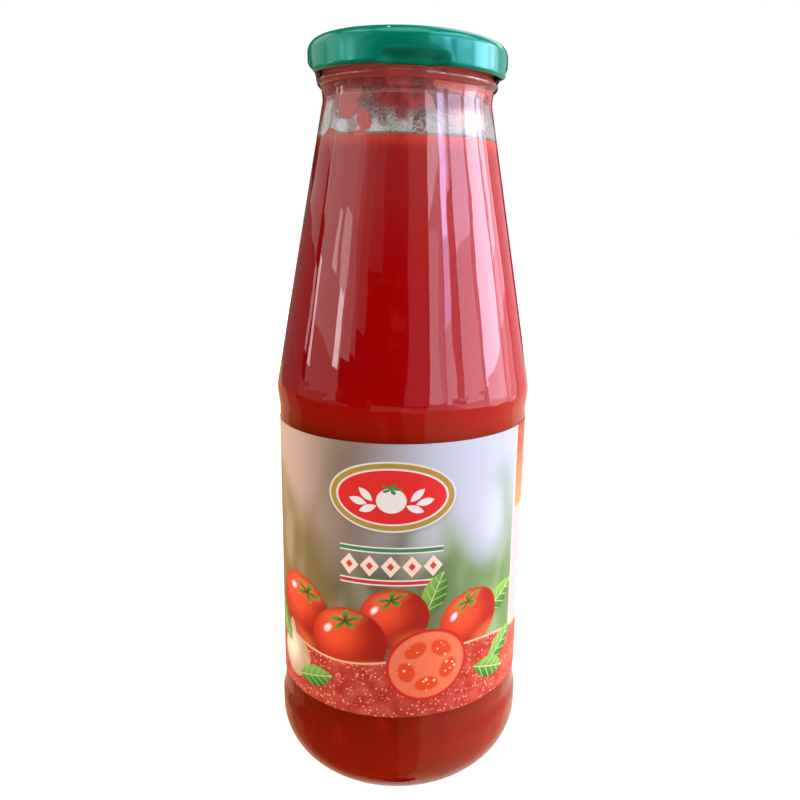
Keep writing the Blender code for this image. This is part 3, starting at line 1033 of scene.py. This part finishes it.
WINDOWS = [
    ("pane_faint", (2, 23), (0, 27), 0.4, (1, 0.9, 0.9)),
    ("pane_a", (23.5, 33), (1, 18), 3.3, (1, 0.95, 1.02)),
    ("pane_a_top", (23.5, 33), (18, 27), 2.2, (1, 0.95, 1.02)),
    ("pane_a_edge", (33, 38), (1, 27), 2.5, (1, 0.85, 1.05)),
    ("pane_a_foot", (23.5, 38), (-10, 1), 1, (1, 0.9, 0.95)),
    ("pane_b", (38.5, 46.5), (16, 27), 11.5, (1, 0.85, 1.45)),
    ("pane_b_middle", (38.5, 46.5), (9, 16), 6.5, (1, 0.85, 1.4)),
    ("pane_b_edge", (46.5, 50), (20, 27), 6.0, (1, 0.9, 1.3)),
    ("pane_b_foot", (38.5, 46.5), (-2, 9), 3.8, (1, 0.95, 1.1)),
    ("pane_bars", (46.5, 54), (-8, 20), 1.1, (1, 1, 1.2)),
    ("pane_bars_top", (50, 54), (20, 27), 2.3, (1, 1, 1.3)),
    ("pane_c", (54.5, 74), (14, 27), 6.3, (1, 0.95, 1.3)),
    ("pane_c_foot", (54.5, 74), (-1, 14), 3.9, (1, 0.95, 1.15)),
    ("pane_b_sill", (38.5, 54.5), (-13, -2), 1.2, (1, 0.95, 1)),
    ("pane_c_sill", (54.5, 74), (-13, -1), 2.4, (1, 0.95, 1)),
    ("pane_c_bar_sill", (74, 78.5), (-13, -4), 1.6, (1, 0.95, 1)),
    ("pane_c_bar", (74.5, 78), (-4, 27), 2.4, (1, 1, 1.25)),
    ("pane_d", (78.5, 100.5), (1, 27), 10.0, (1, 1, 1.3)),
    ("pane_d_foot", (78.5, 100.5), (-5, 1), 5.0, (1, 1, 1.2)),
    ("pane_d_sill", (78.5, 100.5), (-13, -5), 3.5, (1, 0.97, 0.98)),
    ("pane_e_sill", (100.5, 121), (-13, -9), 1.9, (1, 0.97, 1)),
    ("pane_d_bar", (100.5, 103), (-9, 27), 3.8, (1, 1, 1.25)),
    ("pane_e", (103.5, 112), (8, 27), 7.5, (1, 1, 1.3)),
    ("pane_e_middle", (103.5, 112), (2, 8), 4.5, (1, 1, 1.25)),
    ("pane_e_foot", (103.5, 112), (-9, 2), 2.6, (1, 1, 1.15)),
    ("pane_f", (112, 121), (3, 27), 3.2, (1, 1, 1.25)),
    ("pane_f_foot", (112, 121), (-10, 3), 1.6, (1, 1, 1.1)),
    ("pane_tops", (24, 121), (27.5, 42), 3.0, (1, 0.97, 1.1)),
    ("wall_right", (122, 152), (-9, 27), 0.7, (1, 1, 1.1)),
    ("wall_left", (-98, -60), (4, 30), 1.65, (1, 0.97, 0.95)),
    ("wall_left_top", (-98, -46), (30, 45), 1, (1, 0.97, 0.95)),
    ("wall_left_foot", (-98, -60), (-2, 4), 0.75, (1, 0.95, 0.9)),
    ("wall_left_sill", (-106, -46), (-9, -2), 0.4, (1, 0.75, 0.6)),
    ("wall_left_end", (-60, -51), (5, 30), 1.3, (1, 0.97, 0.93)),
    ("wall_left_soft", (-51, -46), (6, 30), 0.7, (1, 0.95, 0.9)),
    ("wall_left_faint", (-46, -36), (9, 30), 0.4, (1, 0.95, 0.9)),
    ("wall_left_fainter", (-36, -24), (15, 30), 0.22, (1, 0.95, 0.9)),
    ("lamp_left", (-69, -62.5), (3.5, 9.5), 8.0, (1, 0.98, 0.98)),
    ("lamp_left_glow", (-71, -62), (9.5, 16), 2.6, (1, 0.95, 0.92)),
    ("slit_left", (-97.5, -93.5), (0, 9), 5.0, (1, 0.98, 1)),
    ("slit_far_left", (-106, -101), (0, 7), 2.0, (1, 0.98, 1)),
    ("glow_left", (-80, -75), (10, 15), 3.5, (1, 0.97, 0.95)),
    ("slit_high_left", (-102, -98.5), (12, 24), 2.2, (1, 0.95, 0.9)),
    ("wall_far_left", (-140, -106), (7, 16), 0.75, (1, 0.9, 0.85)),
    ("wall_far_left_foot", (-160, -106), (-9, 7), 0.17, (1, 0.9, 0.85)),
    ("wall_far_left_top", (-140, -102), (16, 42), 1.1, (1, 0.95, 0.9)),
    ("table_things", (-26, 23), (-14, -3), 0.42, (1, 0.85, 0.85)),
    ("table_left", (-106, 0), (-82, -9), 0.28, (1, 0.32, 0.04)),
    ("table_left_end", (-128, -106), (-82, -9), 0.45, (1, 0.45, 0.18)),
    ("table_far_left", (-160, -128), (-82, -9), 0.8, (1, 0.50, 0.25)),
    ("table_middle", (0, 20), (-82, -9), 0.25, (1.1, 0.9, 0.3)),
    ("table_right", (20, 42), (-82, -10), 0.5, (1.1, 1, 0.6)),
    ("table_window", (42, 66), (-82, -13), 0.62, (1.1, 0.95, 0.62)),
    ("table_window_end", (66, 120), (-82, -13), 0.74, (1.1, 0.84, 0.57)),
    ("table_far_right", (120, 160), (-82, -9), 0.8, (1.1, 1, 0.8)),
    ("table_behind", (160, 200), (-82, -9), 0.7, (1.1, 1, 0.85)),
    ("window_behind", (135, 172), (24, 62), 1.8, (0.9, 1, 1.15)),
    ("skylight", (30, 100), (46, 62), 5.0, (0.9, 1, 1.25)),
    ("skylight_left", (-110, -60), (50, 64), 2.5, (1, 1, 0.95)),
]
for name, azimuths, heights, glow, colour in WINDOWS:
    pane = window(name, azimuths, heights, glow, colour)
    pane.visible_transmission = False
    pane.visible_diffuse = MATT_LIGHT_TOPS[0] < heights[1] < MATT_LIGHT_TOPS[1]

# Each fill has its name, azimuths, glow and whether bounced rays sample it too. Where they do,
# less of it reaches the passata.
FILLS = [
    ("fill_left", (-150, -55), 3.6, True),
    ("fill_left_faint", (-150, -60), 0.5, False),
    ("fill_right", (84, 150), 5.2, False),
]
for name, azimuths, glow, shared in FILLS:
    fill = window(name, azimuths, FILL_HEIGHTS, glow, (1, 0.92, 0.85))
    fill.data.cycles.use_multiple_importance_sampling = shared
    fill.visible_glossy = False
    fill.visible_transmission = False

overhead = bpy.data.lights.new("overhead", "AREA")
overhead.shape = "DISK"
overhead.size = 1.2
overhead.energy = 9.0
overhead_lamp = bpy.data.objects.new("overhead", overhead)
overhead_lamp.location = (-0.1, -0.5, 1.6)
overhead_lamp.rotation_euler = (radians(18), 0, 0)
overhead_lamp.visible_camera = False
bpy.context.scene.collection.objects.link(overhead_lamp)

world = bpy.data.worlds.new("room")
world.use_nodes = True
bpy.context.scene.world = world
room = world.node_tree
path = add(room, "LightPath")
dim = add(room, "Background", {"Color": (1, 0.9, 0.9, 1), "Strength": 0.02})
through_glass = add(room, "Background", {"Color": (1, 0.95, 0.93, 1), "Strength": 0.60})
daylight = add(room, "Background", {"Color": (1, 0.90, 0.82, 1), "Strength": 0.30})
backdrop = add(room, "Background", {"Color": (1, 1, 1, 1), "Strength": 1.0})
passed = maths(room, "GREATER_THAN", path.outputs["Transmission Depth"], 0.5)
scattered = maths(room, "GREATER_THAN", path.outputs["Diffuse Depth"], 0.5)
beyond = add(room, "MixShader", {0: passed, 1: dim.outputs[0], 2: through_glass.outputs[0]})
around = add(room, "MixShader", {0: scattered, 1: beyond.outputs[0], 2: daylight.outputs[0]})
to_camera = path.outputs["Is Camera Ray"]
seen = add(room, "MixShader", {0: to_camera, 1: around.outputs[0], 2: backdrop.outputs[0]})
room.links.new(seen.outputs[0], room.nodes["World Output"].inputs["Surface"])

bpy.ops.object.select_all(action="DESELECT")
bpy.ops.mesh.primitive_plane_add(size=12)
floor = bpy.context.object
floor.name = "floor"
floor_material, _, floor_shader = blank_material("pale_floor")
set_sockets(floor_shader, {"Base Color": (0.3, 0.3, 0.3, 1), "Roughness": 0.9,
                           "Specular IOR Level": 0.0, "Emission Color": (1, 1, 1, 1),
                           "Emission Strength": 0.94})
floor.data.materials.append(floor_material)
floor.visible_glossy = False
floor.visible_diffuse = False

bpy.context.scene.view_settings.view_transform = "Standard"
